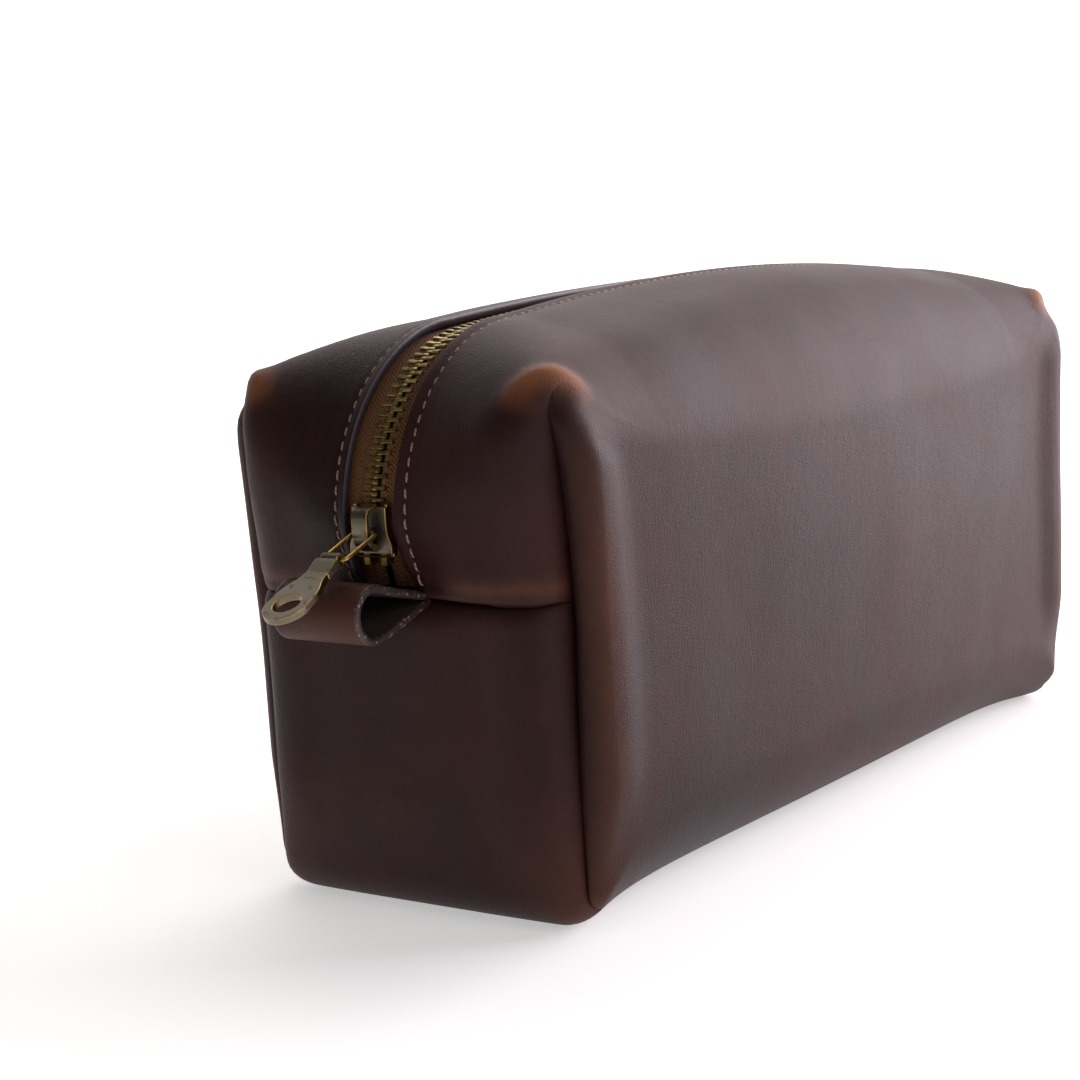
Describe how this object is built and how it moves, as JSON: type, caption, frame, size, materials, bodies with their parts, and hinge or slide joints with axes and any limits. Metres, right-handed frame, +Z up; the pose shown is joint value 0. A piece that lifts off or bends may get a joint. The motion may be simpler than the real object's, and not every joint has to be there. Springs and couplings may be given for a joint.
{
  "type": "shaving kit bag",
  "caption": "Boxed leather wash bag, closed by a metal zip over the top and down both ends, with a leather loop tab sewn into each end.",
  "frame": {"origin": "on the table under the middle of the bag, at the centre of its flat bottom", "axes": "+X along the bag, away from the end where the closed slider rests; +Y to the back wall; +Z up"},
  "size_m": [0.3223, 0.1, 0.1355],
  "materials": {
    "leather": "oiled pull-up leather, dark chocolate, soft sheen",
    "loop_leather": "same hide, cut edges burnished and slightly frayed",
    "zip_tape": "woven herringbone tape, golden brown",
    "zip_brass": "antique brass",
    "slider_metal": "dark antique brass, worn bright on the edges",
    "thread": "waxed thread, beige"
  },
  "bodies": {
    "bag": {"leather_body": "leather", "near_end_loop": "loop_leather", "far_end_loop": "loop_leather", "zip_tape_front": "zip_tape", "zip_tape_back": "zip_tape", "zip_teeth_front": "zip_brass", "zip_teeth_back": "zip_brass", "top_stop_front": "zip_brass", "top_stop_back": "zip_brass", "bottom_stop": "zip_brass", "zip_stitch_front": "thread", "zip_stitch_back": "thread", "near_end_seam_thread": "thread", "far_end_seam_thread": "thread", "corner_thread_near_front": "thread", "corner_thread_near_back": "thread", "corner_thread_far_front": "thread", "corner_thread_far_back": "thread"},
    "slider": {"slider_body": "slider_metal"},
    "link": {"pull_link": "slider_metal"},
    "tab": {"pull_tab": "slider_metal"}
  },
  "joints": [
    {"name": "slider_travel", "type": "hinge", "parent": "bag", "child": "slider", "pos_m": [-0.0935, 0, 0.0865], "axis": [0, 1, 0], "range_deg": [0, 80], "deforming": ["zip_teeth_front", "zip_teeth_back"]},
    {"name": "link_swing", "type": "hinge", "parent": "slider", "child": "link", "pos_m": [-0.13725, 0, 0.0869], "axis": [0, 1, 0], "range_deg": [-5, 60]},
    {"name": "tab_swing", "type": "hinge", "parent": "link", "child": "tab", "pos_m": [-0.1486, 0, 0.0827], "axis": [0, 1, 0], "range_deg": [-6, 55]}
  ]
}
